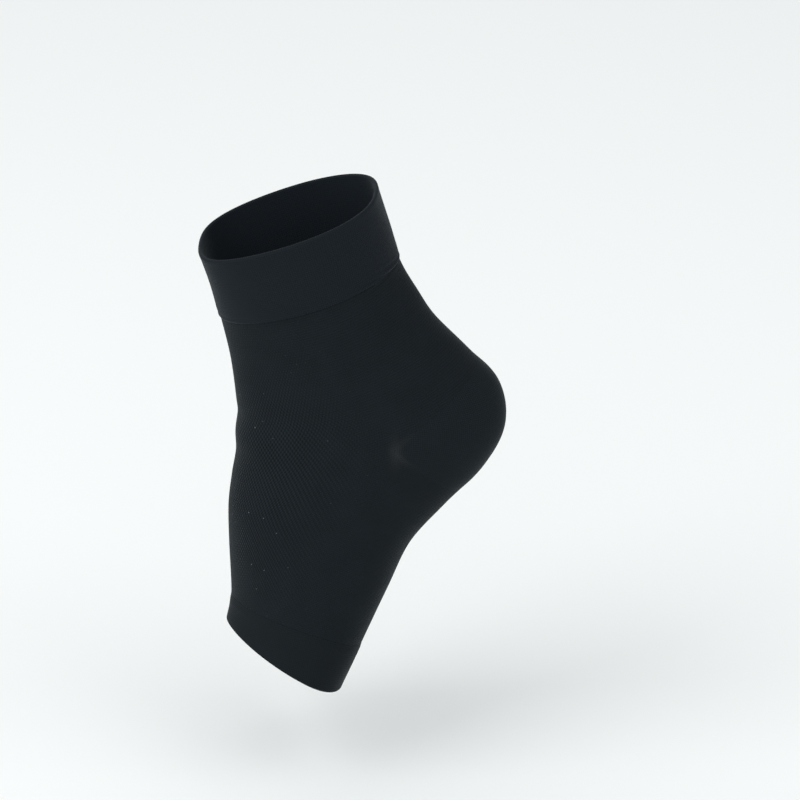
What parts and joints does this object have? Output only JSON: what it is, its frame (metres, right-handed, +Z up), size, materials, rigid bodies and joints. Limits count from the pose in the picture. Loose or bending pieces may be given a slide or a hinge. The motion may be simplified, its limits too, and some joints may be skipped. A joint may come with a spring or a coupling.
{
  "type": "foot and ankle compression sleeve",
  "caption": "Open-toed knitted sleeve for foot and ankle, with a turned cuff, a meshed tube, a plain heel pocket and a toe band, in the form it has worn on tiptoe.",
  "frame": {"origin": "the ankle centre, where the lines of the leg and the foot cross inside the hollow", "axes": "+Z is up, +X points to the heel and -Y to the outer side of the foot. The leg leans 20 degrees towards the toes and the foot points down."},
  "size_m": [0.1303, 0.0881, 0.2266],
  "materials": {
    "cuff_knit": "double layer of fine plain knit, matt",
    "body_knit": "compression knit with a small diamond mesh, matt",
    "heel_knit": "smooth plain knit, matt with a faint sheen",
    "band_knit": "turned hem of fine plain knit, matt"
  },
  "bodies": {
    "root": {"top_cuff": "cuff_knit", "knit_body": "body_knit", "heel_pocket": "heel_knit", "toe_band": "band_knit"}
  },
  "joints": []
}
